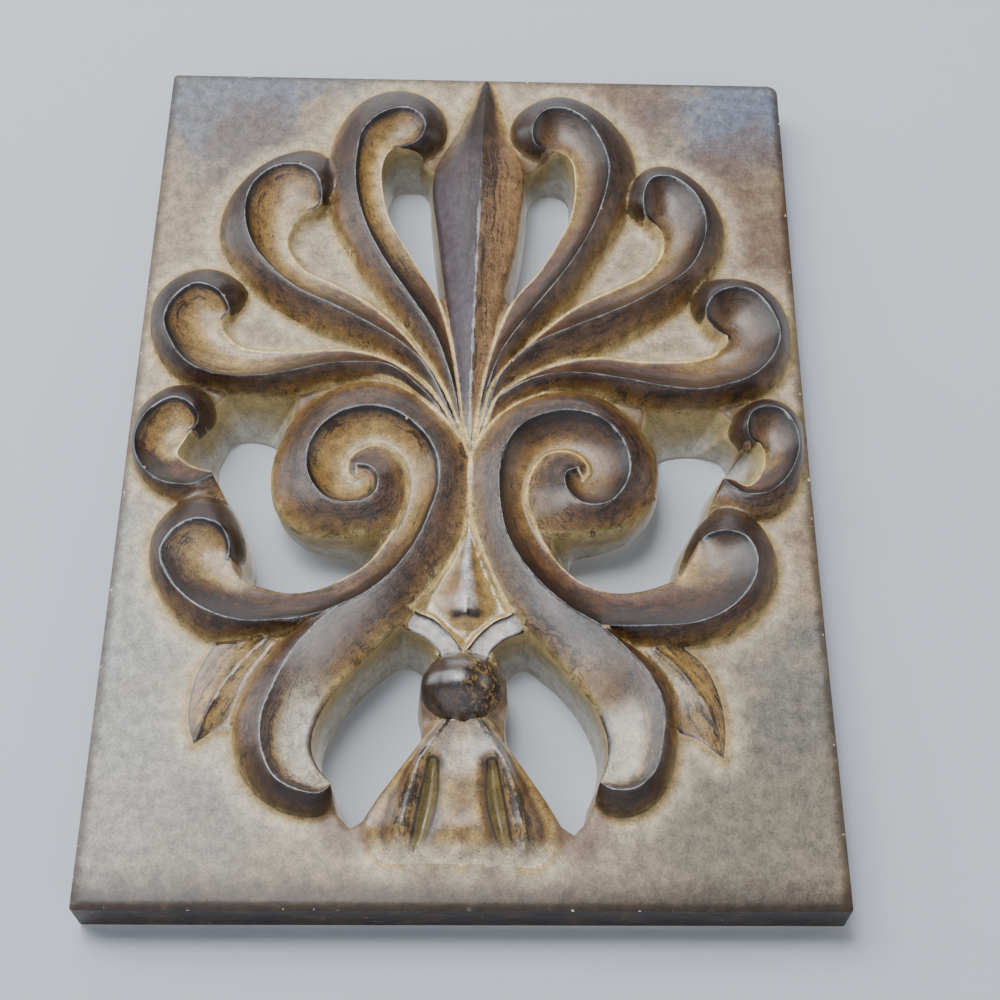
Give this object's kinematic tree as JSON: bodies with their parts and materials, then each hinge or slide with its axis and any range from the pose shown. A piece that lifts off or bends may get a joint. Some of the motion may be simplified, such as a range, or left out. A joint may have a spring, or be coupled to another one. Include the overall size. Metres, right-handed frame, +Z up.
{
  "type": "wall plaque",
  "caption": "Rectangular plaster wall plaque with a pierced palmette of curled leaves over paired volutes and a hanging tassel.",
  "frame": {"origin": "middle of the flat back, on the plane that lies against the wall", "axes": "+Z up as it hangs, +X to the right as seen from the front, the carved face looks along -Y"},
  "size_m": [0.1514, 0.0185, 0.2137],
  "materials": {
    "antiqued_plaster": "cast plaster under a worn, antiqued wood-brown glaze with a satin sheen"
  },
  "bodies": {
    "root": {"scroll_plaque": "antiqued_plaster"}
  },
  "joints": []
}
